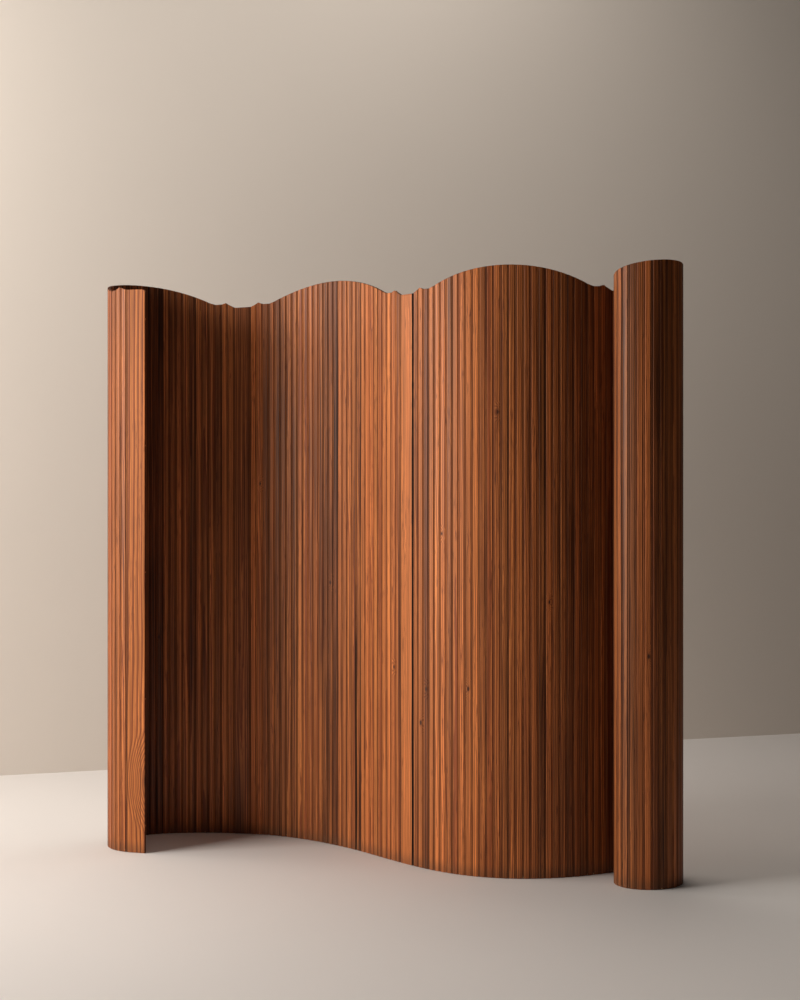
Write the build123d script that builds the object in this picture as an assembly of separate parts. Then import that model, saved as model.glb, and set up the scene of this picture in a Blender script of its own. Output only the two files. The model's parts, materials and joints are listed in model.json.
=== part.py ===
from build123d import *
import math
import os

# Tambour room divider: upright pine slats threaded on five steel wires, in millimetres.
# +Z is up, +X runs to the right and +Y away from where the divider is seen.
# A slat's own frame has its left pivot at x = 0, its right pivot at x = its width,
# its two faces at y = -HALF and y = HALF, and its foot at z = 0.

# Slats
PITCH = 24.0  # a narrow slat, from pivot to pivot
WIDE = 62.0  # the three wide slats between the bays
END = 70.0  # the two end slats
THICKNESS = 11.0
NOSE_R = 4.5  # round nose along a slat's right side
COVE_R = 4.8  # hollow along its left side, in which the next slat's nose turns
LIP_ANGLE = 52.0  # the hollow's lips stand this far each side of the slat's own line
NECK_ANGLE = 50.0  # the grooves behind the nose open at this angle
EDGE_EASE = 2.0  # rounding of the two free edges
BLANK_Z = 2010.0  # length of a slat before its top is sawn

# Scalloped top: heights above the floor, and distances along the slats laid flat
PEAK_Z = 2000.0
DIP_Z = 1934.5
TROUGH_Z = 1919.5
CENTRE_TO_CUSP = 61.0  # from the middle of a wide slat
CENTRE_TO_DIP = 92.0
DIP_R = 72.0
END_DIP_Z = 1957.0
END_DIP_TO_CUSP = 38.0
END_FLAT_Z = 1957.5
END_FLAT_LENGTH = 58.0  # from the free edge
END_CORNER_R = 12.0

# Wires, and what holds them in the end slats
WIRE_R = 1.0
WIRE_HOLE_R = 1.6
WIRE_HEIGHTS = (95.0, 535.0, 975.0, 1415.0, 1855.0)
WIRE_BEND = 1.4  # length of wire, each side of a pivot, that takes its bend
FAN_HALF = 1.8  # a fan-shaped cut in the nose lets the wire swing with the next slat
FAN_ANGLE = 27.0
FAN_HEIGHT = 3.6
FAN_START = 1.2
POCKET_R = 3.2
POCKET_DEPTH = 30.0
FERRULE_R = 2.6
FERRULE_BORE_R = 1.02
FERRULE_LENGTH = 12.0
WIRE_TAIL = 3.0
PLUG_R = 3.15
PLUG_LENGTH = 10.0

# Slats move in pairs where the divider curls, and in threes where it runs gently.
# Each bay lists (slats in a group, number of groups), from left to right.
BAYS = (
    ((2, 8), (3, 4)),
    ((3, 3), (2, 6), (3, 3)),
    ((3, 3), (2, 6), (3, 3)),
    ((2, 14),),
)
WIDE_NAMES = ("wide_slat_left", "wide_slat_middle", "wide_slat_right")

# Plan from left to right: (hinges, degrees that each of them turns to the left, seen from above)
BENDS = (
    (10, -10.5),
    (5, -6.75),
    (5, -3.5),
    (10, -2.0),
    (6, -2.5),
    (6, -2.0),
    (12, -1.0),
    (7, 0.7),
    (6, 2.1),
    (12, 3.2),
    (6, 2.5),
    (6, 2.0),
    (3, -16.0),
    (9, -9.5),
    (9, -11.5),
    (4, -17.0),
    (4, -21.0),
)
MIDDLE_HEADING = -47.6  # the middle wide slat's own line, in degrees from +X

HALF = THICKNESS / 2
LIP_X = HALF / math.tan(math.radians(LIP_ANGLE))
NECK_X = HALF / math.tan(math.radians(NECK_ANGLE))


def groups():
    """The moving groups from left to right, each with its name and the widths of its slats."""
    found = [("end_slat_left", [END])]
    number = 1
    for bay, runs in enumerate(BAYS):
        if bay > 0:
            found.append((WIDE_NAMES[bay - 1], [WIDE]))
        for size, count in runs:
            for _ in range(count):
                last = number + size - 1
                found.append((f"slats_{number:03d}_{last:03d}", [PITCH] * size))
                number = last + 1
    found.append(("end_slat_right", [END]))
    return found


def widths():
    """The width of every slat, from left to right."""
    return [width for _, slats in groups() for width in slats]


def turns():
    """The turn of every hinge in degrees, from left to right."""
    return [angle for count, angle in BENDS for _ in range(count)]


def ahead(place, forward, aside=0.0):
    """The plan point that lies forward along a slat's line and aside to its left."""
    x, y, heading = place
    along = math.radians(heading)
    return (
        x + forward * math.cos(along) - aside * math.sin(along),
        y + forward * math.sin(along) + aside * math.cos(along),
    )


def corners(width, place):
    """The outermost plan points of a slat, which are the corners of its two faces."""
    near = 0.0 if width == END else LIP_X
    far = width if width == END else width - NECK_X
    return [ahead(place, x, y) for x in (near, far) for y in (-HALF, HALF)]


def places():
    """Left pivot and heading (x, y, degrees) of every slat, with the whole plan centred on the origin."""
    angles = turns()
    slats = widths()
    middle = [k for k, width in enumerate(slats) if width == WIDE][1]
    x, y = 0.0, 0.0
    found = []
    for k, width in enumerate(slats):
        heading = MIDDLE_HEADING + sum(angles[middle:k]) - sum(angles[k:middle])
        found.append((x, y, heading))
        x, y = ahead(found[-1], width)
    points = [point for width, place in zip(slats, found) for point in corners(width, place)]
    mid_x = (min(x for x, _ in points) + max(x for x, _ in points)) / 2
    mid_y = (min(y for _, y in points) + max(y for _, y in points)) / 2
    return [(x - mid_x, y - mid_y, heading) for x, y, heading in found]


def polar(pivot_x, radius, degrees):
    """A point at an angle about a pivot on the slat's own line."""
    angle = math.radians(degrees)
    return (pivot_x + radius * math.cos(angle), radius * math.sin(angle))


def cove_side():
    """Hollow about the left pivot, from lip to lip."""
    low = polar(0, COVE_R, -LIP_ANGLE)
    high = polar(0, COVE_R, LIP_ANGLE)
    return [
        Line((LIP_X, -HALF), low),
        ThreePointArc(low, (COVE_R, 0), high),
        Line(high, (LIP_X, HALF)),
    ]


def nose_side(pivot_x):
    """Round nose about the right pivot, with the grooves behind it."""
    high = polar(pivot_x, NOSE_R, 180 - NECK_ANGLE)
    low = polar(pivot_x, NOSE_R, NECK_ANGLE - 180)
    return [
        Line((pivot_x - NECK_X, HALF), high),
        ThreePointArc(high, (pivot_x + NOSE_R, 0), low),
        Line(low, (pivot_x - NECK_X, -HALF)),
    ]


def slat_body(width, cove=True, nose=True):
    """A slat before its top is sawn and its wire holes are bored."""
    start = LIP_X if cove else 0.0
    stop = width - NECK_X if nose else width
    left = cove_side() if cove else [Line((0, -HALF), (0, HALF))]
    right = nose_side(width) if nose else [Line((width, HALF), (width, -HALF))]
    faces = [Line((start, HALF), (stop, HALF)), Line((stop, -HALF), (start, -HALF))]
    body = extrude(make_face(left + faces + right), BLANK_Z)
    uprights = body.edges().filter_by(Axis.Z).sort_by(Axis.X)
    if not cove:
        body = fillet(uprights[:2], EDGE_EASE)
    if not nose:
        body = fillet(uprights[-2:], EDGE_EASE)
    return body


def along_x(radius, start, stop):
    """A round bar on the slat's own line."""
    bar = Cylinder(radius, stop - start, rotation=(0, 90, 0))
    return Pos((start + stop) / 2, 0, 0) * bar


def wire_way(width, cove=True, nose=True):
    """What one wire needs cut away: its hole, a fan in the nose, and a pocket at a free edge."""
    way = along_x(WIRE_HOLE_R, 0, width)
    if nose:
        reach = NOSE_R + 1.0
        wide = FAN_HALF + reach * math.tan(math.radians(FAN_ANGLE))
        side = [(width - FAN_START, FAN_HALF), (width, FAN_HALF), (width + reach, wide)]
        fan = make_face(Polyline(side + [(x, -y) for x, y in reversed(side)], close=True))
        way += extrude(fan, FAN_HEIGHT / 2, both=True)
    if not cove:
        way += along_x(POCKET_R, -1, POCKET_DEPTH)
    if not nose:
        way += along_x(POCKET_R, width - POCKET_DEPTH, width + 1)
    return way


def blank(width, cove=True, nose=True):
    """A slat with its wire holes, before its top is sawn."""
    way = wire_way(width, cove, nose)
    body = slat_body(width, cove, nose)
    for height in WIRE_HEIGHTS:
        body -= Pos(0, 0, height) * way
    return body


def wide_centres():
    """Where the middles of the three wide slats lie, with the slats laid flat from 0."""
    slats = widths()
    return [sum(slats[:k]) + width / 2 for k, width in enumerate(slats) if width == WIDE]


def cusp_height(dip_z, reach):
    """Height of the point where a dip's arc ends, beside the dip's lowest point."""
    return dip_z + DIP_R - math.sqrt(DIP_R**2 - reach**2)


def bay_top(peak_x, left, right):
    """Arch of one bay between its two dips, each given as (lowest point x, its height, cusp x)."""
    span = (PEAK_Z - DIP_Z) ** 2 + (wide_pitch() / 2 - CENTRE_TO_DIP) ** 2
    radii = span / 2 / (PEAK_Z - DIP_Z)
    share = DIP_R / radii
    meets = []
    cusps = []
    for dip_x, dip_z, cusp_x in (left, right):
        meets.append(
            (
                dip_x + share * (peak_x - dip_x),
                dip_z + DIP_R + share * (PEAK_Z - radii - dip_z),
            )
        )
        cusps.append((cusp_x, cusp_height(dip_z, cusp_x - dip_x)))
    return [
        ThreePointArc(cusps[0], left[:2], meets[0]),
        ThreePointArc(meets[0], (peak_x, PEAK_Z), meets[1]),
        ThreePointArc(meets[1], right[:2], cusps[1]),
    ]


def wide_pitch():
    """Distance between the middles of two wide slats."""
    centres = wide_centres()
    return centres[1] - centres[0]


def end_dip(peak_x, way):
    """The dip beside an end slat. way is -1 for the left end and 1 for the right."""
    drop = PEAK_Z - END_DIP_Z
    full = PEAK_Z - DIP_Z
    radii = (full**2 + (wide_pitch() / 2 - CENTRE_TO_DIP) ** 2) / 2 / full
    dip_x = peak_x + way * math.sqrt(2 * drop * radii - drop**2)
    return (dip_x, END_DIP_Z, dip_x + way * END_DIP_TO_CUSP)


def end_top(edge_x, inward, cusp_x):
    """Rounded corner, level stretch and rise to the first cusp, over one end slat."""
    foot = (edge_x, END_FLAT_Z - END_CORNER_R)
    corner = (edge_x + inward * END_CORNER_R, END_FLAT_Z)
    level = (edge_x + inward * END_FLAT_LENGTH, END_FLAT_Z)
    cusp = (cusp_x, cusp_height(END_DIP_Z, END_DIP_TO_CUSP))
    return [
        TangentArc(foot, corner, tangent=(0, 1)),
        Line(corner, level),
        TangentArc(level, cusp, tangent=(inward, 0)),
    ]


def waste():
    """What is sawn off above the scalloped top, with the slats laid flat from x = 0."""
    length = sum(widths())
    centres = wide_centres()
    half_pitch = wide_pitch() / 2
    peaks = [centres[0] - half_pitch] + [centre + half_pitch for centre in centres]
    starts = [end_dip(peaks[0], -1)]
    stops = []
    edges = []
    for centre in centres:
        stops.append((centre - CENTRE_TO_DIP, DIP_Z, centre - CENTRE_TO_CUSP))
        starts.append((centre + CENTRE_TO_DIP, DIP_Z, centre + CENTRE_TO_CUSP))
        cusp_z = cusp_height(DIP_Z, CENTRE_TO_DIP - CENTRE_TO_CUSP)
        cusps = [(centre - CENTRE_TO_CUSP, cusp_z), (centre + CENTRE_TO_CUSP, cusp_z)]
        edges.append(ThreePointArc(cusps[0], (centre, TROUGH_Z), cusps[1]))
    stops.append(end_dip(peaks[-1], 1))
    for peak_x, start, stop in zip(peaks, starts, stops):
        edges += bay_top(peak_x, start, stop)
    edges += end_top(0, 1, starts[0][2])
    edges += end_top(length, -1, stops[-1][2])
    foot = END_FLAT_Z - END_CORNER_R
    lid = BLANK_Z + 10
    rim = Polyline((0, foot), (-10, foot), (-10, lid), (length + 10, lid), (length + 10, foot), (length, foot))
    outline = make_face(edges + rim.edges())
    return Plane.XZ * extrude(outline, THICKNESS, both=True)


def slats():
    """Every slat, sawn to the scallop and standing in its place, from left to right."""
    patterns = {
        "left": blank(END, cove=False),
        "right": blank(END, nose=False),
        WIDE: blank(WIDE),
        PITCH: blank(PITCH),
    }
    offcut = waste()
    laid_x = 0.0
    found = []
    last = len(widths()) - 1
    for k, (width, place) in enumerate(zip(widths(), places())):
        key = {0: "left", last: "right"}.get(k, width)
        sawn = Pos(laid_x, 0, 0) * patterns[key] - offcut
        x, y, heading = place
        found.append(Pos(x, y, 0) * Rot(0, 0, heading) * Pos(-laid_x, 0, 0) * sawn)
        laid_x += width
    return found


def wire():
    """One wire at the foot's height, through every pivot, with an end in each end slat."""
    stand = places()
    inset = POCKET_DEPTH - FERRULE_LENGTH - WIRE_TAIL
    points = [ahead(stand[0], inset)]
    points += [place[:2] for place in stand[1:]]
    points.append(ahead(stand[-1], END - inset))
    radii = [WIRE_BEND / math.tan(math.radians(abs(turn)) / 2) for turn in turns()]
    path = FilletPolyline(*points, radius=radii)
    section = Plane(origin=path @ 0, z_dir=path % 0) * Circle(WIRE_R)
    whole = sweep(section, path=path)
    expected = math.pi * WIRE_R**2 * path.length
    print(f"wire length {path.length:.1f} mm, volume {whole.volume:.0f} of {expected:.0f} mm3")
    return whole


def at_heights(piece, place):
    """A piece from an end slat's own frame, repeated at every wire."""
    x, y, heading = place
    return [Pos(x, y, height) * Rot(0, 0, heading) * piece for height in WIRE_HEIGHTS]


def end_pieces(edge_x, inward, place):
    """The crimped ferrules and the wooden plugs of one end slat."""
    bottom = edge_x + inward * POCKET_DEPTH
    outer = bottom - inward * FERRULE_LENGTH
    start, stop = sorted((bottom, outer))
    ferrule = along_x(FERRULE_R, start, stop) - along_x(FERRULE_BORE_R, start - 1, stop + 1)
    plug = along_x(PLUG_R, *sorted((edge_x, edge_x + inward * PLUG_LENGTH)))
    return at_heights(ferrule, place), at_heights(plug, place)


def save(name, pieces):
    """Writes one sub-part, whose pieces are separate solids."""
    solids = [solid for piece in pieces for solid in piece.solids()]
    export_step(Compound(label=name, children=solids), f"parts/{name}.step")


def main():
    os.makedirs("parts", exist_ok=True)
    made = slats()
    first = 0
    for name, members in groups():
        save(name, made[first : first + len(members)])
        first += len(members)
    one_wire = wire()
    save("tension_wires", [Pos(0, 0, height) * one_wire for height in WIRE_HEIGHTS])
    for side, edge_x, inward, place in (("left", 0.0, 1, places()[0]), ("right", END, -1, places()[-1])):
        ferrules, plugs = end_pieces(edge_x, inward, place)
        save(f"wire_ferrules_{side}", ferrules)
        save(f"edge_plugs_{side}", plugs)


if __name__ == "__main__":
    main()
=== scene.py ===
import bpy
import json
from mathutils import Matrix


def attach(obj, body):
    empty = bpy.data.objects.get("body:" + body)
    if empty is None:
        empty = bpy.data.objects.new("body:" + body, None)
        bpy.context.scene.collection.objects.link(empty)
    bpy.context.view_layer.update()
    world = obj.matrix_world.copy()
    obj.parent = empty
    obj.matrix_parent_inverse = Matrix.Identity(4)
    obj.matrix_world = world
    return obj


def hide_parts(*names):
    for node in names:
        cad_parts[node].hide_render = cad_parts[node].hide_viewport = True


bl_info = {
    "name": "Tambour room divider",
    "version": (1, 0, 0),
    "blender": (4, 5, 0),
    "location": "3D View > Sidebar > Divider",
    "description": "Dresses the slatted pine divider and its wires, and lights it on a plain floor",
    "category": "Object",
}

import json
import math
import random

import bmesh
import bpy
from bpy.props import FloatProperty, FloatVectorProperty, PointerProperty
from mathutils import Vector
from mathutils.geometry import tessellate_polygon

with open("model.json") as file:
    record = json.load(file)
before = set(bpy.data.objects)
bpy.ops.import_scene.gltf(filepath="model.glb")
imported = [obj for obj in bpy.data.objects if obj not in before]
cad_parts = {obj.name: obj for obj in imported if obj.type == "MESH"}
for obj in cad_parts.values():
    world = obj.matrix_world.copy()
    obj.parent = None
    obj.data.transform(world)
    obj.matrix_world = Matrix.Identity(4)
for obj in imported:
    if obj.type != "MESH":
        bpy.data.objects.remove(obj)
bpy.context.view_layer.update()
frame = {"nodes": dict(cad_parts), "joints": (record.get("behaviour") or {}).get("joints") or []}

# Slats, in metres, as the CAD has them
PITCH = 0.024
WIDE = 0.062
END = 0.070
HALF = 0.0055
NOSE_R = 0.0045
COVE_R = 0.0048
LIP_ANGLE = 52.0
NECK_ANGLE = 50.0
FREE_EASE = 0.002
FREE_BACK = 0.00015  # the free edge lies this far back, so that its plugs stand proud
COVE_STEPS = 6
NOSE_STEPS = 9
LIP_X = HALF / math.tan(math.radians(LIP_ANGLE))
NECK_X = HALF / math.tan(math.radians(NECK_ANGLE))

# Scalloped top
PEAK_Z = 2.0
DIP_Z = 1.9345
TROUGH_Z = 1.9195
CENTRE_TO_CUSP = 0.061
CENTRE_TO_DIP = 0.092
DIP_R = 0.072
END_DIP_Z = 1.957
END_DIP_TO_CUSP = 0.038
END_FLAT_Z = 1.9575
END_FLAT_LENGTH = 0.058
END_CORNER_R = 0.012

# Wires
WIRE_R = 0.001
WIRE_SIDES = 10
WIRE_HEIGHTS = (0.095, 0.535, 0.975, 1.415, 1.855)
WIRE_START = 0.015  # a wire's end lies this far inside the free edge
WIRE_LAP = NOSE_R * 0.5  # a group's stretch ends this far past its last pivot

# Groups of slats in each bay, and the plan's bends, from left to right
BAYS = (
    ((2, 8), (3, 4)),
    ((3, 3), (2, 6), (3, 3)),
    ((3, 3), (2, 6), (3, 3)),
    ((2, 14),),
)
WIDE_NAMES = ("wide_slat_left", "wide_slat_middle", "wide_slat_right")
BENDS = (
    (10, -10.5),
    (5, -6.75),
    (5, -3.5),
    (10, -2.0),
    (6, -2.5),
    (6, -2.0),
    (12, -1.0),
    (7, 0.7),
    (6, 2.1),
    (12, 3.2),
    (6, 2.5),
    (6, 2.0),
    (3, -16.0),
    (9, -9.5),
    (9, -11.5),
    (4, -17.0),
    (4, -21.0),
)
MIDDLE_HEADING = -47.6
MIDDLE_HINGE = "hinge_slats_056_058_to_wide_slat_middle"

# The camera is level, and the middle wide slat lies here from it, to the right and ahead
MIDDLE_FROM_CAMERA = (0.026, 5.607)
CAMERA_HEIGHT = 1.337
FOCAL_PIXELS = 1660.0
FRAME_PIXELS = 1000.0
HORIZON_PIXELS = 468.0
SENSOR_MM = 36.0

# Slats' and wires' edges sharper than this, in degrees, are shaded sharp
SLAT_SHARP = 40
WIRE_SHARP = 50

# Colours that aren't on the panel
RED_WOOD = (0.36, 0.085, 0.026)
RESIN = (0.075, 0.020, 0.008)
KNOT_WOOD = (0.050, 0.015, 0.007)
# Painted shade: near black on the nose and cove inside a joint that stands open
GAP_SHADE = (0.006, 0.003, 0.002)
END_GRAIN = (0.09, 0.032, 0.014)
# Colour that the slats darken towards at their foot
FOOT_DARK = (0.10, 0.045, 0.022)
STEEL_STAIN = (0.24, 0.19, 0.15)
LAMP_COLOUR = (1.0, 0.95, 0.89)
EVEN_COLOUR = (1.0, 0.97, 0.93)

# Floor and backdrop
STAGE_REACH = 14.0
FLOOR_Z = -0.0005
BACKDROP_AHEAD = 7.75
BACKDROP_TURN = 17.0
BACKDROP_TOP = 9.0
BEYOND_STRENGTH = 0.8
# Lamps: name, the panel's setting of their power, size, place, and the point they face
LAMPS = (
    ("side", "key", 2.4, (-4.7, -1.75, 2.1), (0.1, -0.1, 0.95)),
    ("front", "front", 1.8, (-1.2, -6.5, 2.6), (0.0, 0.0, 1.0)),
    ("wash", "wash", 2.0, (-2.9, 0.5, 3.2), (-0.1, 2.0, 1.6)),
    ("above", "above", 3.0, (0.0, -0.4, 4.4), (0.0, -0.4, 0.0)),
    ("rear", "rear", 1.6, (0.5, 0.9, 4.8), (0.2, 0.3, 0.7)),
)

# Knots that show plainly: slat number from the left end, height and radius in metres
KNOTS = {
    17: (0.72, 0.0045),
    31: (1.28, 0.0035),
    44: (0.93, 0.004),
    58: (0.66, 0.0035),
    62: (0.485, 0.005),
    63: (0.60, 0.004),
    66: (1.12, 0.0035),
    70: (0.613, 0.0045),
    74: (1.52, 0.004),
    81: (0.90, 0.0035),
    100: (1.10, 0.004),
    110: (0.74, 0.0045),
}
# Runs of darker, redder slats: first and last, how much darker and how much redder. The darkening of the
# first three runs, slats 5 to 34, is painted shade, for the shadow in the left curl.
TONE_AND_SHADE_RUNS = (
    (5, 19, 3.3, 0.6),
    (20, 28, 1.5, 0.5),
    (29, 34, 0.7, 0.3),
    (35, 47, 1.1, 0.3),
    (61, 71, -0.8, -0.5),
    (80, 91, 0.6, 0.3),
    (92, 120, 1.0, 0.6),
)
# The knot whose rings sweep round the foot of the left end slat: across, height and radius in metres
END_SWIRL = (-0.047, 0.25, 0.019)
# Wood of the left end slat and of the middle wide slat, whose figure shows plainly
END_WOOD = {"pith": (0.055, 0.050, 0.004), "tone": (0.2, -1.2, 7.0), "knot": END_SWIRL, "rings": 0.012}
MIDDLE_WOOD = {"pith": (0.060, 0.045, 0.002), "tone": (0.8, -1.4, 21.0), "rings": 0.006}
# Joints that stand a little open: hinge number from the left end, and the height that they are open to
OPEN_JOINTS = {60: 2.1, 49: 0.95}
OPEN_FADE = 0.35  # an opening closes over this height
GAP_SHADE_MARK = 2.0  # depth that the wood's finish reads as an open gap, which it paints near black as shade
GAP_MARGIN = 0.0002


class DividerFinish(bpy.types.PropertyGroup):
    """Colours and gloss of the varnished pine and of the wires."""

    early: FloatVectorProperty(
        name="Early wood", description="Colour between the grain lines", subtype="COLOR", size=3,
        min=0.0, max=1.0, default=(0.56, 0.180, 0.048),
    )
    late: FloatVectorProperty(
        name="Late wood", description="Colour of the grain lines", subtype="COLOR", size=3,
        min=0.0, max=1.0, default=(0.215, 0.052, 0.015),
    )
    # Painted shade and old varnish: this colour darkens the joints between slats with their depth from the
    # face. It also darkens the plugs' pores.
    groove: FloatVectorProperty(
        name="Groove", description="Colour of old varnish in the grooves", subtype="COLOR", size=3,
        min=0.0, max=1.0, default=(0.040, 0.012, 0.005),
    )
    raw: FloatVectorProperty(
        name="Bare wood", description="Colour where the varnish is chipped", subtype="COLOR", size=3,
        min=0.0, max=1.0, default=(0.62, 0.42, 0.24),
    )
    steel: FloatVectorProperty(
        name="Wire", description="Colour of the steel wires", subtype="COLOR", size=3,
        min=0.0, max=1.0, default=(0.52, 0.52, 0.53),
    )
    gloss: FloatProperty(
        name="Varnish roughness", description="Roughness of the satin varnish", subtype="FACTOR",
        min=0.0, max=1.0, default=0.46,
    )


class DividerSizes(bpy.types.PropertyGroup):
    """Sizes of the dressed slats that the CAD leaves plain."""

    ease: FloatProperty(
        name="Eased edge", description="Softening of a slat's sawn and moulded edges", subtype="DISTANCE",
        unit="LENGTH", min=0.0001, max=0.001, default=0.0005,
    )
    step: FloatProperty(
        name="Face step", description="Spacing of the points that follow the scalloped top",
        subtype="DISTANCE", unit="LENGTH", min=0.001, max=0.01, default=0.0026,
    )
    open_nose: FloatProperty(
        name="Open joint", description="How far the nose lies back at a joint that stands open",
        subtype="DISTANCE", unit="LENGTH", min=0.0, max=0.004, default=0.0026,
    )


class DividerStage(bpy.types.PropertyGroup):
    """Floor, backdrop and lamps."""

    floor: FloatVectorProperty(
        name="Floor", description="Colour of the plain floor", subtype="COLOR", size=3,
        min=0.0, max=1.0, default=(0.86, 0.82, 0.79),
    )
    backdrop: FloatVectorProperty(
        name="Backdrop", description="Colour of the plain backdrop", subtype="COLOR", size=3,
        min=0.0, max=1.0, default=(0.74, 0.67, 0.60),
    )
    key: FloatProperty(
        name="Side light", description="Power of the large lamp at the left", subtype="POWER",
        unit="POWER", min=0.0, default=225.0,
    )
    front: FloatProperty(
        name="Front light", description="Power of the weak lamp beside the camera", subtype="POWER",
        unit="POWER", min=0.0, default=6.0,
    )
    wash: FloatProperty(
        name="Backdrop light", description="Power of the lamp that lights mostly the backdrop",
        subtype="POWER", unit="POWER", min=0.0, default=42.0,
    )
    above: FloatProperty(
        name="Upper light", description="Power of the lamp above the divider", subtype="POWER",
        unit="POWER", min=0.0, default=9.0,
    )
    rear: FloatProperty(
        name="Rear light", description="Power of the lamp high behind the divider", subtype="POWER",
        unit="POWER", min=0.0, default=34.0,
    )
    fill: FloatProperty(
        name="Even light", description="Strength of the even light from all round", min=0.0, default=0.012,
    )


class Value:
    """One value of a shader. Arithmetic on it adds Math nodes."""

    def __init__(self, recipe, socket):
        self.recipe = recipe
        self.socket = socket

    def _math(self, operation, *others, first=None):
        feeds = [self if first is None else first, *others]
        return self.recipe.node("ShaderNodeMath", {"operation": operation}, dict(enumerate(feeds)))[0]

    def __add__(self, other):
        return self._math("ADD", other)

    def __sub__(self, other):
        return self._math("SUBTRACT", other)

    def __rsub__(self, other):
        return self._math("SUBTRACT", self, first=other)

    def __mul__(self, other):
        return self._math("MULTIPLY", other)

    def __truediv__(self, other):
        return self._math("DIVIDE", other)

    __radd__ = __add__
    __rmul__ = __mul__

    def fraction(self):
        return self._math("FRACT")

    def root(self):
        return self._math("SQRT")

    def upto(self, other):
        return self._math("MINIMUM", other)

    def smooth(self, start, stop):
        """0 at start, 1 at stop and an even ease between them."""
        settings = {"interpolation_type": "SMOOTHSTEP"}
        return self.recipe.node("ShaderNodeMapRange", settings, {0: self, 1: start, 2: stop})[0]


class Recipe:
    """A new material and the nodes that are added to it."""

    def __init__(self, name):
        self.material = bpy.data.materials.new(name)
        self.material.use_nodes = True
        self.tree = self.material.node_tree
        self.tree.nodes.clear()

    def node(self, kind, settings=None, feeds=None):
        """Adds a node, and gives its outputs by number or name."""
        made = self.tree.nodes.new(kind)
        for key, value in (settings or {}).items():
            setattr(made, key, value)
        for key, value in (feeds or {}).items():
            socket = made.inputs[key]
            if isinstance(value, Value):
                self.tree.links.new(value.socket, socket)
            else:
                socket.default_value = value
        return Outputs(self, made)

    def attribute(self, name):
        return self.node("ShaderNodeAttribute", {"attribute_name": name})

    def noise(self, place, scale, detail=3.0, roughness=0.5):
        feeds = {"Vector": place, "Scale": scale, "Detail": detail, "Roughness": roughness}
        return self.node("ShaderNodeTexNoise", {"noise_dimensions": "3D"}, feeds)["Fac"]

    def vector(self, x, y, z):
        return self.node("ShaderNodeCombineXYZ", {}, {0: x, 1: y, 2: z})[0]

    def blend(self, share, low, high):
        """A colour between two, each a colour or a Value."""
        mix = {"data_type": "RGBA"}
        feeds = {0: share, 6: self.colour(low), 7: self.colour(high)}
        return self.node("ShaderNodeMix", mix, feeds)[2]

    def scaled(self, colour, share):
        """A colour made darker or lighter by a value."""
        return self.node("ShaderNodeVectorMath", {"operation": "SCALE"}, {0: colour, "Scale": share})[0]

    @staticmethod
    def colour(value):
        return value if isinstance(value, Value) else (*value, 1.0)

    def finish(self, **feeds):
        """Closes the material with a Principled shader. Underscores in names stand for spaces."""
        named = {key.replace("_", " "): value for key, value in feeds.items()}
        shader = self.node("ShaderNodeBsdfPrincipled", {}, named)
        out = self.tree.nodes.new("ShaderNodeOutputMaterial")
        self.tree.links.new(shader["BSDF"].socket, out.inputs["Surface"])
        return self.material


class Outputs:
    """The outputs of a node, wrapped as values."""

    def __init__(self, recipe, made):
        self.recipe = recipe
        self.made = made

    def __getitem__(self, key):
        return Value(self.recipe, self.made.outputs[key])


def groups():
    """The moving groups from left to right, each with its name and the widths of its slats."""
    found = [("end_slat_left", [END])]
    number = 1
    for bay, runs in enumerate(BAYS):
        if bay > 0:
            found.append((WIDE_NAMES[bay - 1], [WIDE]))
        for size, count in runs:
            for _ in range(count):
                last = number + size - 1
                found.append((f"slats_{number:03d}_{last:03d}", [PITCH] * size))
                number = last + 1
    found.append(("end_slat_right", [END]))
    return found


WIDTHS = [width for _, members in groups() for width in members]
TURNS = [angle for count, angle in BENDS for _ in range(count)]
STARTS = [sum(WIDTHS[:k]) for k in range(len(WIDTHS))]
CENTRES = [start + width / 2 for start, width in zip(STARTS, WIDTHS) if width == WIDE]
MIDDLE = [k for k, width in enumerate(WIDTHS) if width == WIDE][1]
LENGTH = sum(WIDTHS)
HALF_PITCH = (CENTRES[1] - CENTRES[0]) / 2
# The radii of an arch and of a dip, added together
RADII = ((PEAK_Z - DIP_Z) ** 2 + (HALF_PITCH - CENTRE_TO_DIP) ** 2) / 2 / (PEAK_Z - DIP_Z)
END_REACH = math.sqrt(2 * (PEAK_Z - END_DIP_Z) * RADII - (PEAK_Z - END_DIP_Z) ** 2)


def ahead(place, forward, aside=0.0):
    """The plan point that lies forward along a slat's line and aside to its left."""
    x, y, heading = place
    along = math.radians(heading)
    return (
        x + forward * math.cos(along) - aside * math.sin(along),
        y + forward * math.sin(along) + aside * math.cos(along),
    )


def places():
    """Left pivot and heading of every slat, set on the CAD's own hinges."""
    hinge = next(joint for joint in frame["joints"] if joint["name"] == MIDDLE_HINGE)
    x, y = hinge["pos_m"][:2]
    found = {MIDDLE: (x, y, MIDDLE_HEADING)}
    for k in range(MIDDLE + 1, len(WIDTHS)):
        x, y = ahead(found[k - 1], WIDTHS[k - 1])
        found[k] = (x, y, found[k - 1][2] + TURNS[k - 1])
    for k in range(MIDDLE - 1, -1, -1):
        heading = found[k + 1][2] - TURNS[k]
        x, y = ahead((*found[k + 1][:2], heading), -WIDTHS[k])
        found[k] = (x, y, heading)
    return [found[k] for k in range(len(WIDTHS))]


def arch_height(reach, dip_reach, dip_z):
    """Height of a bay's top at a distance from its peak."""
    meet = dip_reach * (1 - DIP_R / RADII)
    if reach <= meet:
        arch_r = RADII - DIP_R
        return PEAK_Z - arch_r + math.sqrt(arch_r**2 - reach**2)
    return dip_z + DIP_R - math.sqrt(DIP_R**2 - (reach - dip_reach) ** 2)


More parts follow.
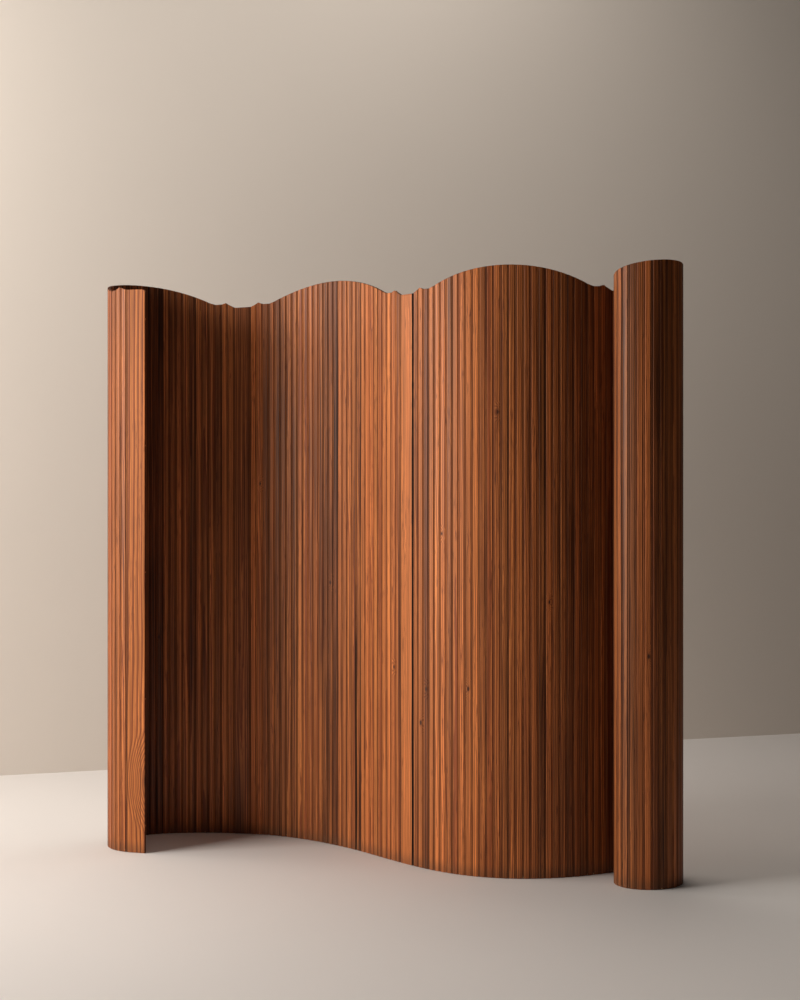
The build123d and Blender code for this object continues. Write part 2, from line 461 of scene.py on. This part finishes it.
def end_height(inset, cusp_inset):
    """Height of the top over an end slat, at a distance from its free edge."""
    if inset < END_CORNER_R:
        short = END_CORNER_R - max(inset, 0.0)
        return END_FLAT_Z - END_CORNER_R + math.sqrt(END_CORNER_R**2 - short**2)
    if inset < END_FLAT_LENGTH:
        return END_FLAT_Z
    cusp_z = END_DIP_Z + DIP_R - math.sqrt(DIP_R**2 - END_DIP_TO_CUSP**2)
    run = cusp_inset - END_FLAT_LENGTH
    rise = cusp_z - END_FLAT_Z
    radius = (run**2 + rise**2) / 2 / rise
    return END_FLAT_Z + radius - math.sqrt(radius**2 - (inset - END_FLAT_LENGTH) ** 2)


def top_height(along):
    """Height of the scalloped top at a distance along the slats laid flat."""
    nearest = min(CENTRES, key=lambda centre: abs(along - centre))
    away = abs(along - nearest)
    if away <= CENTRE_TO_CUSP:
        cusp_z = DIP_Z + DIP_R - math.sqrt(DIP_R**2 - (CENTRE_TO_DIP - CENTRE_TO_CUSP) ** 2)
        rise = cusp_z - TROUGH_Z
        radius = (CENTRE_TO_CUSP**2 + rise**2) / 2 / rise
        return TROUGH_Z + radius - math.sqrt(radius**2 - away**2)
    if CENTRES[0] < along < CENTRES[-1]:
        return arch_height(HALF_PITCH - away, HALF_PITCH - CENTRE_TO_DIP, DIP_Z)
    inset = along if along < CENTRES[0] else LENGTH - along
    peak_inset = CENTRES[0] - HALF_PITCH
    if inset > peak_inset:
        return arch_height(inset - peak_inset, HALF_PITCH - CENTRE_TO_DIP, DIP_Z)
    cusp_inset = peak_inset - END_REACH - END_DIP_TO_CUSP
    if inset < cusp_inset:
        return end_height(inset, cusp_inset)
    return arch_height(peak_inset - inset, END_REACH, END_DIP_Z)


def polar(pivot_x, radius, degrees):
    """A point on a circle round a pivot of the slats' line."""
    angle = math.radians(degrees)
    return Vector((pivot_x + radius * math.cos(angle), radius * math.sin(angle)))


def eased(before, corner, after, ease):
    """Three points that round a corner between its neighbours."""
    back = (before - corner).normalized() * ease
    on = (after - corner).normalized() * ease
    return [corner + back, corner + (back + on) * 0.25, corner + on]


def half_outline(width, cove, nose, nose_r):
    """One half of a slat's section, from its left end over the far face to its right end."""
    sizes = bpy.context.scene.divider_sizes
    ease = sizes.ease
    points = []
    if cove:
        points += [polar(0, COVE_R, LIP_ANGLE * k / COVE_STEPS) for k in range(COVE_STEPS)]
        inner = polar(0, COVE_R, LIP_ANGLE)
        outer = Vector((LIP_X, HALF))
        points += eased(points[-1], inner, outer, ease * 0.5)
        points += eased(inner, outer, Vector((width / 2, HALF)), ease)
    else:
        points += [Vector((FREE_BACK, 0)), Vector((FREE_BACK, HALF - FREE_EASE))]
        corner = Vector((FREE_EASE, HALF - FREE_EASE))
        points += [corner + FREE_EASE * polar(0, 1, angle) for angle in (150, 120, 90)]
    left_x = points[-1].x
    right_x = width - NECK_X if nose else width - FREE_EASE
    steps = max(2, round((right_x - left_x) / sizes.step))
    points += [Vector((left_x + (right_x - left_x) * k / steps, HALF)) for k in range(1, steps)]
    if nose:
        neck = polar(width, nose_r, 180 - NECK_ANGLE)
        shoulder = Vector((width - NECK_X, HALF))
        points += eased(points[-1], shoulder, neck, ease)
        points += [polar(width, nose_r, (180 - NECK_ANGLE) * (1 - k / NOSE_STEPS)) for k in range(NOSE_STEPS)]
        points.append(Vector((width + nose_r, 0)))
    else:
        corner = Vector((right_x, HALF - FREE_EASE))
        points += [corner + FREE_EASE * polar(0, 1, angle) for angle in (90, 60, 30)]
        points += [Vector((width - FREE_BACK, HALF - FREE_EASE)), Vector((width - FREE_BACK, 0))]
    return points


def outline(width, cove, nose, nose_r):
    """A slat's whole section, clockwise from its left end as seen from above."""
    far = half_outline(width, cove, nose, nose_r)
    near = [Vector((point.x, -point.y)) for point in reversed(far[1:-1])]
    return far + near


def inset(points, depth):
    """The same outline moved in from its edges."""
    moved = []
    count = len(points)
    for k, point in enumerate(points):
        along = (points[(k + 1) % count] - points[k - 1]).normalized()
        moved.append(point + Vector((along.y, -along.x)) * depth)
    return moved


class SlatMesh:
    """Gathers the slats of one moving group into one mesh, with what their wood needs to know."""

    def __init__(self):
        self.bm = bmesh.new()
        self.data = {name: [] for name in ("grain", "pith", "tone", "knot")}
        self.groove = []
        self.rings = []

    def add(self, index, place):
        """Adds the slat with this number, counted from the left end, standing in its place."""
        width = WIDTHS[index]
        cove = index > 0
        nose = index < len(WIDTHS) - 1
        ease = bpy.context.scene.divider_sizes.ease
        open_to = OPEN_JOINTS.get(index, 0.0)
        open_r = NOSE_R - bpy.context.scene.divider_sizes.open_nose
        closed = outline(width, cove, nose, NOSE_R)
        opened = outline(width, cove, nose, open_r)
        low = opened if open_to else closed
        levels = [(0.0, low, ease), (ease, low, 0.0)]
        if 0.0 < open_to < PEAK_Z:
            levels += [(open_to - OPEN_FADE, opened, 0.0), (open_to, closed, 0.0)]
        high = levels[-1][1]
        rings = []
        for z, shape, depth in levels:
            ring = inset(shape, depth) if depth else shape
            heights = [z] * len(ring)
            rings.append(self.ring(index, ring, heights, shape is opened, place))
        tops = [top_height(STARTS[index] + point.x) for point in high]
        rings.append(self.ring(index, high, [top - ease for top in tops], high is opened, place))
        rings.append(self.ring(index, inset(high, ease), tops, high is opened, place))
        self.walls(rings)
        self.lid(rings[0], inset(low, ease), True)
        self.lid(rings[-1], inset(high, ease), False)

    def ring(self, index, points, heights, is_open, place):
        """One ring of a slat's points, each with its place in the slat's own wood."""
        wood = WOOD[index]
        made = []
        for point, z in zip(points, heights):
            x, y = ahead(place, point.x, point.y)
            made.append(self.bm.verts.new((x, y, z)))
            depth = (HALF - abs(point.y)) / HALF
            # Painted shade: points on the nose and cove inside an open joint are marked to be painted near
            # black
            right_gap = is_open and point.x > WIDTHS[index] - NECK_X + GAP_MARGIN
            left_gap = OPEN_JOINTS.get(index - 1, 0.0) > PEAK_Z and point.x < LIP_X - GAP_MARGIN
            self.data["grain"].append((point.x - WIDTHS[index] / 2, point.y, z))
            self.data["pith"].append(wood["pith"])
            self.data["tone"].append(wood["tone"])
            self.data["knot"].append(wood["knot"])
            self.groove.append(GAP_SHADE_MARK if right_gap or left_gap else depth)
            self.rings.append(wood["rings"])
        return made

    def walls(self, rings):
        """Faces between the rings of one slat."""
        count = len(rings[0])
        for low, high in zip(rings, rings[1:]):
            for k in range(count):
                after = (k + 1) % count
                self.bm.faces.new((low[k], high[k], high[after], low[after]))

    def lid(self, ring, points, downward):
        """Closes one end of a slat."""
        flat = [point.to_3d() for point in points]
        for triangle in tessellate_polygon([flat]):
            a, b, c = (flat[k] for k in triangle)
            anticlockwise = (b - a).cross(c - a).z > 0
            order = triangle if anticlockwise != downward else reversed(triangle)
            self.bm.faces.new([ring[k] for k in order])

    def piece(self, name, material):
        """The finished object."""
        mesh = bpy.data.meshes.new(name)
        self.bm.to_mesh(mesh)
        self.bm.free()
        for layer, values in self.data.items():
            stored = mesh.attributes.new(layer, "FLOAT_VECTOR", "POINT")
            stored.data.foreach_set("vector", [part for value in values for part in value])
        for layer, values in (("groove", self.groove), ("rings", self.rings)):
            stored = mesh.attributes.new(layer, "FLOAT", "POINT")
            stored.data.foreach_set("value", values)
        mesh.materials.append(material)
        mesh.shade_smooth()
        mesh.set_sharp_from_angle(angle=math.radians(SLAT_SHARP))
        made = bpy.data.objects.new(name, mesh)
        bpy.context.collection.objects.link(made)
        return made


def slat_wood():
    """What differs from slat to slat: where its pith lay, its rings, its tone, which in some runs holds
    painted shade, and its clearest knot.
    """
    draw = random.Random(11)
    found = []
    for index, width in enumerate(WIDTHS):
        broad = width > PITCH
        side = draw.uniform(-0.010, 0.010) if broad else draw.uniform(-0.045, 0.045)
        below = draw.uniform(0.020, 0.032) if broad else draw.uniform(0.012, 0.060)
        lean = draw.uniform(0.010, 0.016) if broad else draw.uniform(-0.006, 0.006)
        tone = draw.gauss(0.0, 1.0)
        red = draw.gauss(0.0, 1.0)
        seed = draw.uniform(0.0, 60.0)
        across = draw.uniform(-0.004, 0.004)
        rings = draw.uniform(0.0055, 0.0075) if broad else draw.uniform(0.0022, 0.0065)
        height, radius = KNOTS.get(index, (-1.0, 0.003))
        # Painted shade: the first runs darken the slats in the shadow of the left curl
        for first, last, darker, redder in TONE_AND_SHADE_RUNS:
            if first <= index <= last:
                tone -= darker
                red += redder
        wood = {"pith": (side, below, lean), "tone": (tone, red, seed), "rings": rings}
        wood["knot"] = (across, height, radius)
        found.append(wood)
    found[0].update(END_WOOD)
    found[MIDDLE].update(MIDDLE_WOOD)
    return found


WOOD = slat_wood()


def varnished_pine():
    """Old pitch pine under satin varnish, with its figure taken from each slat's own log."""
    finish = bpy.context.scene.divider_finish
    pine = Recipe("varnished_pine")
    grain = pine.node("ShaderNodeSeparateXYZ", {}, {0: pine.attribute("grain")["Vector"]})
    pith = pine.node("ShaderNodeSeparateXYZ", {}, {0: pine.attribute("pith")["Vector"]})
    tone = pine.node("ShaderNodeSeparateXYZ", {}, {0: pine.attribute("tone")["Vector"]})
    knot = pine.node("ShaderNodeSeparateXYZ", {}, {0: pine.attribute("knot")["Vector"]})
    groove = pine.attribute("groove")["Fac"]
    x, y, z = grain[0], grain[1], grain[2]
    seed = tone[2]

    knot_x = (x - knot[0]) / knot[2]
    knot_z = (z - knot[1]) / (knot[2] * 2.0)
    knot_far = (knot_x * knot_x + knot_z * knot_z).root()
    knot_pull = 1 - knot_far.smooth(0.6, 5.0)
    knot_dark = (1 - knot_far.smooth(0.5, 1.1)) * 0.75 + (1 - knot_far.smooth(0.9, 2.0)) * 0.25

    drift = pine.noise(pine.vector(x * 6.0 + seed, y * 6.0, z * 1.7), 1.0, 2.0)
    ripple = pine.noise(pine.vector(x * 40.0 + seed, y * 40.0, z * 9.0 + seed), 1.0, 3.0)
    from_pith_x = x - pith[0] + (drift - 0.5) * 0.022
    from_pith_y = y + pith[1] - z * pith[2] + (ripple - 0.5) * 0.0016
    ring = (from_pith_x * from_pith_x + from_pith_y * from_pith_y).root() + knot_pull * knot[2] * 3.5
    phase = (ring / pine.attribute("rings")["Fac"]).fraction()
    late = phase.smooth(0.25, 0.86) * (1 - phase.smooth(0.93, 1.0))

    fibre = pine.noise(pine.vector(x * 900.0 + seed, y * 900.0, z * 9.0), 1.0, 3.0, 0.6)
    streak = pine.noise(pine.vector(x * 230.0 + seed, y * 230.0, z * 1.5 + seed), 1.0, 3.0, 0.6)
    cloud = pine.noise(pine.vector(x * 20.0 + seed, y * 20.0, z * 2.4), 1.0, 3.0)
    resin = pine.noise(pine.vector(x * 420.0 + seed, y * 420.0, z * 16.0 + seed), 1.0, 2.0)
    dash = resin.smooth(0.57, 0.69) * cloud.smooth(0.40, 0.60)

    lined = pine.blend(late * 0.86 + (fibre - 0.5) * 0.7 + 0.05, finish.early, finish.late)
    reddened = pine.blend((tone[1] * 0.16 + 0.25).smooth(0.0, 1.0) * 0.6, lined, RED_WOOD)
    shade = tone[0] * 0.15 + (streak - 0.5) * 1.5 + (cloud - 0.5) * 0.6 + 1.0
    toned = pine.scaled(reddened, shade.smooth(0.0, 2.0) * 2.0)
    dashed = pine.blend(dash * 0.75, toned, RESIN)
    knotted = pine.blend(knot_dark, dashed, KNOT_WOOD)
    # Painted shade and old varnish: the joints darken towards near black with their depth from the face
    grime_and_shade = groove.smooth(0.0, 0.42) * (0.74 - tone[1] * 0.13)
    grimed_and_shaded = pine.blend(grime_and_shade.upto(0.95), knotted, finish.groove)
    # Painted shade: near black on the nose and cove inside an open joint
    opened = pine.blend(groove.smooth(1.0, 1.4), grimed_and_shaded, GAP_SHADE)

    end_up = pine.node("ShaderNodeSeparateXYZ", {}, {0: pine.node("ShaderNodeNewGeometry")["True Normal"]})[2]
    end_grain = end_up.smooth(0.5, 0.8)
    ended = pine.blend(end_grain * 0.75, opened, END_GRAIN)
    scuff = pine.noise(pine.vector(x * 160.0 + seed, y * 160.0, z * 160.0), 1.0, 2.0)
    chipped = scuff.smooth(0.66, 0.71) * (1 - z.smooth(0.003, 0.012))
    # The slats are darker towards the floor, over their lowest 5 cm
    foot = (1 - z.smooth(0.004, 0.05)) * 0.45
    darkened_foot = pine.blend(foot, ended, FOOT_DARK)
    base = pine.blend(chipped, darkened_foot, finish.raw)

    rough = (cloud - 0.5) * 0.16 + groove.smooth(0.02, 0.3) * 0.25 + end_grain * 0.2 + finish.gloss
    relief = fibre * 0.35 + late * 0.35 + streak * 0.3
    bump = pine.node("ShaderNodeBump", {}, {"Strength": 0.30, "Distance": 0.0006, "Height": relief})
    return pine.finish(
        Base_Color=base, Roughness=rough + chipped * 0.3, Normal=bump["Normal"], Specular_IOR_Level=0.24,
    )


def plug_pine():
    """End grain of the turned plugs in the free edges."""
    finish = bpy.context.scene.divider_finish
    plug = Recipe("plug_end_grain")
    place = plug.node("ShaderNodeTexCoord")["Object"]
    pores = plug.noise(place, 900.0, 2.0)
    bands = {"Vector": place, "Scale": 160.0, "Distortion": 3.0}
    rings = plug.node("ShaderNodeTexWave", {"bands_direction": "Z"}, bands)
    lined = plug.blend(rings["Fac"] * 0.7, finish.early, finish.late)
    base = plug.blend(pores.smooth(0.45, 0.7) * 0.5, lined, finish.groove)
    bump = plug.node("ShaderNodeBump", {}, {"Strength": 0.2, "Distance": 0.0004, "Height": pores})
    return plug.finish(Base_Color=base, Roughness=pores * 0.2 + 0.4, Normal=bump["Normal"])


def drawn_steel():
    """Bright drawn wire and crimped ferrules, a little dulled."""
    finish = bpy.context.scene.divider_finish
    steel = Recipe("drawn_steel")
    place = steel.node("ShaderNodeTexCoord")["Object"]
    stain = steel.noise(place, 60.0, 4.0)
    base = steel.blend(stain.smooth(0.4, 0.75) * 0.5, finish.steel, STEEL_STAIN)
    return steel.finish(Base_Color=base, Metallic=1.0, Roughness=stain * 0.3 + 0.2)


def group_starts():
    """The number of the first slat in each group, by the group's name."""
    found = {}
    first = 0
    for name, members in groups():
        found[name] = (first, len(members))
        first += len(members)
    return found


def dress_group(name):
    """Makes the slats of one group, and lets them stand for their CAD node."""
    first, count = group_starts()[name]
    stand = places()
    gathered = SlatMesh()
    for index in range(first, first + count):
        gathered.add(index, stand[index])
    piece = gathered.piece(f"pine_{name}", bpy.data.materials["varnished_pine"])
    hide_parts(name)
    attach(piece, name)


class DIVIDER_OT_finishes(bpy.types.Operator):
    """Makes the divider's finishes"""

    bl_idname = "divider.finishes"
    bl_label = "Finishes"

    def execute(self, context):
        varnished_pine()
        plug_pine()
        drawn_steel()
        return {"FINISHED"}


class DIVIDER_OT_narrow_slats(bpy.types.Operator):
    """Makes the narrow slats of the four bays"""

    bl_idname = "divider.narrow_slats"
    bl_label = "Narrow slats"

    def execute(self, context):
        for name, members in groups():
            if members[0] == PITCH:
                dress_group(name)
        return {"FINISHED"}


class DIVIDER_OT_wide_slats(bpy.types.Operator):
    """Makes the three wide slats under the troughs"""

    bl_idname = "divider.wide_slats"
    bl_label = "Wide slats"

    def execute(self, context):
        for name in WIDE_NAMES:
            dress_group(name)
        return {"FINISHED"}


class DIVIDER_OT_end_slats(bpy.types.Operator):
    """Makes the two end slats, and finishes the plugs in their edges"""

    bl_idname = "divider.end_slats"
    bl_label = "End slats"

    def execute(self, context):
        for side in ("left", "right"):
            dress_group(f"end_slat_{side}")
            paint(f"edge_plugs_{side}", "plug_end_grain")
        return {"FINISHED"}


class DIVIDER_OT_wires(bpy.types.Operator):
    """Makes each group's stretch of the five wires, and finishes their ferrules"""

    bl_idname = "divider.wires"
    bl_label = "Wires"

    def execute(self, context):
        stand = places()
        for name, (first, count) in group_starts().items():
            piece = wire_stretch(name, stand[first : first + count], first)
            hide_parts("tension_wires")
            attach(piece, name)
        for side in ("left", "right"):
            paint(f"wire_ferrules_{side}", "drawn_steel")
        return {"FINISHED"}


def paint(node, material):
    """Gives a CAD node's object a finish."""
    shown = frame["nodes"][node]
    shown.data.materials.clear()
    shown.data.materials.append(bpy.data.materials[material])


def wire_stretch(name, stand, first):
    """The five wires through one group, from its cove to its nose."""
    last = first + len(stand) - 1
    start = COVE_R if first > 0 else WIRE_START
    stop = WIDTHS[last] + WIRE_LAP if last < len(WIDTHS) - 1 else END - WIRE_START
    points = [ahead(stand[0], start)] + [place[:2] for place in stand[1:]] + [ahead(stand[-1], stop)]
    bm = bmesh.new()
    for height in WIRE_HEIGHTS:
        rings = []
        for k, point in enumerate(points):
            before = Vector(points[max(k - 1, 0)])
            after = Vector(points[min(k + 1, len(points) - 1)])
            along = (after - before).normalized()
            across = Vector((-along.y, along.x, 0))
            ring = []
            for side in range(WIRE_SIDES):
                turn = math.tau * side / WIRE_SIDES
                offset = across * math.cos(turn) * WIRE_R + Vector((0, 0, math.sin(turn) * WIRE_R))
                ring.append(bm.verts.new(Vector((*point, height)) + offset))
            rings.append(ring)
        for low, high in zip(rings, rings[1:]):
            for k in range(WIRE_SIDES):
                after = (k + 1) % WIRE_SIDES
                bm.faces.new((low[k], low[after], high[after], high[k]))
        bm.faces.new(list(reversed(rings[0])))
        bm.faces.new(rings[-1])
    mesh = bpy.data.meshes.new(f"wires_{name}")
    bmesh.ops.recalc_face_normals(bm, faces=bm.faces)
    bm.to_mesh(mesh)
    bm.free()
    mesh.materials.append(bpy.data.materials["drawn_steel"])
    mesh.shade_smooth()
    mesh.set_sharp_from_angle(angle=math.radians(WIRE_SHARP))
    made = bpy.data.objects.new(f"wires_{name}", mesh)
    bpy.context.collection.objects.link(made)
    return made


def camera_place():
    """Where the camera stands, from the middle wide slat."""
    x, y = ahead(places()[MIDDLE], WIDE / 2)
    return Vector((x - MIDDLE_FROM_CAMERA[0], y - MIDDLE_FROM_CAMERA[1], CAMERA_HEIGHT))


def plain_surface(name, colour):
    """Matt plaster or screed, with faint clouds so that it isn't dead flat."""
    plain = Recipe(name)
    place = plain.node("ShaderNodeTexCoord")["Object"]
    cloud = plain.noise(place, 0.9, 4.0)
    darker = tuple(part * 0.94 for part in colour)
    return plain.finish(Base_Color=plain.blend(cloud, darker, colour), Roughness=0.85)


def seen_from_front(material):
    """Lets the backdrop be looked through from behind, so that the divider's back can be seen."""
    tree = material.node_tree
    out = next(node for node in tree.nodes if node.type == "OUTPUT_MATERIAL")
    shader = out.inputs["Surface"].links[0].from_socket
    clear = tree.nodes.new("ShaderNodeBsdfTransparent")
    mix = tree.nodes.new("ShaderNodeMixShader")
    side = tree.nodes.new("ShaderNodeNewGeometry")
    tree.links.new(side.outputs["Backfacing"], mix.inputs["Fac"])
    tree.links.new(shader, mix.inputs[1])
    tree.links.new(clear.outputs["BSDF"], mix.inputs[2])
    tree.links.new(mix.outputs["Shader"], out.inputs["Surface"])
    return material


def sheet_object(name, corners, material):
    """A flat sheet of the stage."""
    mesh = bpy.data.meshes.new(name)
    mesh.from_pydata(corners, [], [tuple(range(len(corners)))])
    mesh.materials.append(material)
    made = bpy.data.objects.new(name, mesh)
    bpy.context.collection.objects.link(made)


class DIVIDER_OT_stage(bpy.types.Operator):
    """Sets the floor, the backdrop, the lamps and the camera"""

    bl_idname = "divider.stage"
    bl_label = "Stage"

    def execute(self, context):
        stage = context.scene.divider_stage
        eye = camera_place()
        signs = ((-1, -1), (1, -1), (1, 1), (-1, 1))
        floor = [(across * STAGE_REACH, deep * STAGE_REACH, FLOOR_Z) for across, deep in signs]
        sheet_object("floor", floor, plain_surface("pale_floor", stage.floor))
        back = Vector((eye.x, eye.y + BACKDROP_AHEAD))
        along = polar(0, STAGE_REACH, BACKDROP_TURN)
        left, right = back - along, back + along
        upright = [(*left, FLOOR_Z), (*right, FLOOR_Z), (*right, BACKDROP_TOP), (*left, BACKDROP_TOP)]
        sheet_object("backdrop", upright, seen_from_front(plain_surface("backdrop", stage.backdrop)))
        for name, setting, size, place, target in LAMPS:
            add_area(name, getattr(stage, setting), size, place, target)
        self.surround(context, stage)
        self.camera(context, eye)
        context.scene.view_settings.view_transform = "Standard"
        return {"FINISHED"}

    def surround(self, context, stage):
        """Even light from all round, and a pale colour where the view runs past the floor."""
        world = bpy.data.worlds.new("surround")
        world.use_nodes = True
        tree = world.node_tree
        lit = tree.nodes["Background"]
        lit.inputs["Color"].default_value = (*EVEN_COLOUR, 1.0)
        lit.inputs["Strength"].default_value = stage.fill
        seen = tree.nodes.new("ShaderNodeBackground")
        seen.inputs["Color"].default_value = (*stage.backdrop, 1.0)
        seen.inputs["Strength"].default_value = BEYOND_STRENGTH
        path = tree.nodes.new("ShaderNodeLightPath")
        mix = tree.nodes.new("ShaderNodeMixShader")
        tree.links.new(path.outputs["Is Camera Ray"], mix.inputs["Fac"])
        tree.links.new(lit.outputs["Background"], mix.inputs[1])
        tree.links.new(seen.outputs["Background"], mix.inputs[2])
        tree.links.new(mix.outputs["Shader"], tree.nodes["World Output"].inputs["Surface"])
        context.scene.world = world

    def camera(self, context, eye):
        """A level camera whose frame is shifted, so that upright lines stay upright."""
        lens = bpy.data.cameras.new("camera")
        lens.sensor_width = SENSOR_MM
        lens.lens = FOCAL_PIXELS / FRAME_PIXELS * SENSOR_MM
        lens.shift_y = (HORIZON_PIXELS - FRAME_PIXELS / 2) / FRAME_PIXELS
        made = bpy.data.objects.new("camera", lens)
        made.location = eye
        made.rotation_euler = (math.radians(90), 0, 0)
        context.collection.objects.link(made)
        context.scene.camera = made


def add_area(name, power, size, place, target):
    """A square lamp that faces a point."""
    lamp = bpy.data.lights.new(name, "AREA")
    lamp.energy = power
    lamp.size = size
    lamp.color = LAMP_COLOUR
    made = bpy.data.objects.new(name, lamp)
    made.location = place
    made.rotation_euler = (Vector(target) - Vector(place)).to_track_quat("-Z", "Y").to_euler()
    made.visible_camera = False
    bpy.context.collection.objects.link(made)


class DIVIDER_PT_panel(bpy.types.Panel):
    """Steps that dress the divider"""

    bl_idname = "DIVIDER_PT_panel"
    bl_label = "Tambour divider"
    bl_space_type = "VIEW_3D"
    bl_region_type = "UI"
    bl_category = "Divider"

    def draw(self, context):
        for group in (context.scene.divider_sizes, context.scene.divider_finish, context.scene.divider_stage):
            box = self.layout.box()
            for name in group.__annotations__:
                box.prop(group, name)
        for step in STEPS:
            self.layout.operator(step.bl_idname)


SETTINGS = {"divider_finish": DividerFinish, "divider_sizes": DividerSizes, "divider_stage": DividerStage}
STEPS = (
    DIVIDER_OT_finishes,
    DIVIDER_OT_narrow_slats,
    DIVIDER_OT_wide_slats,
    DIVIDER_OT_end_slats,
    DIVIDER_OT_wires,
    DIVIDER_OT_stage,
)


def register():
    for part in (*SETTINGS.values(), *STEPS, DIVIDER_PT_panel):
        bpy.utils.register_class(part)
    for name, group in SETTINGS.items():
        setattr(bpy.types.Scene, name, PointerProperty(type=group))


def unregister():
    for name in SETTINGS:
        delattr(bpy.types.Scene, name)
    for part in reversed((*SETTINGS.values(), *STEPS, DIVIDER_PT_panel)):
        bpy.utils.unregister_class(part)


def main():
    register()
    bpy.ops.divider.finishes()
    bpy.ops.divider.narrow_slats()
    bpy.ops.divider.wide_slats()
    bpy.ops.divider.end_slats()
    bpy.ops.divider.wires()
    bpy.ops.divider.stage()


if __name__ == "__main__":
    main()
